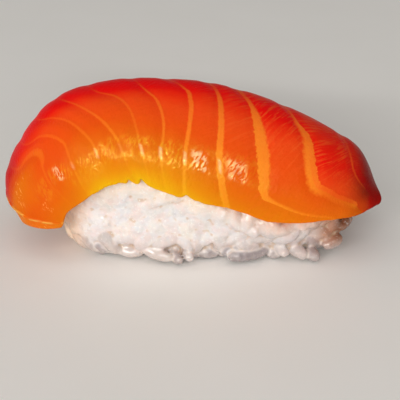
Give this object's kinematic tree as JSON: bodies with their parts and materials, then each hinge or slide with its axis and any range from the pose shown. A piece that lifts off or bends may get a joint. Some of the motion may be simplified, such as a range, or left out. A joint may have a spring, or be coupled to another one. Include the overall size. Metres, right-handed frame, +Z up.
{
  "type": "salmon nigiri",
  "caption": "Pressed bale of short-grain rice with a slice of raw salmon draped over it, its end hanging down as a tongue.",
  "frame": {"origin": "on the board, under the middle of the whole piece's box", "axes": "+X along the slice, from the hanging tongue to the pointed end; -Y is the front; +Z up"},
  "size_m": [0.0722, 0.0296, 0.0332],
  "materials": {
    "rice": "moist cooked short-grain rice, slightly translucent, with small wet highlights",
    "salmon": "wet raw salmon, deep red at the top and orange to yellow at the thin hem, with pale sinew lines"
  },
  "bodies": {
    "root": {"rice": "rice", "salmon": "salmon"}
  },
  "joints": []
}
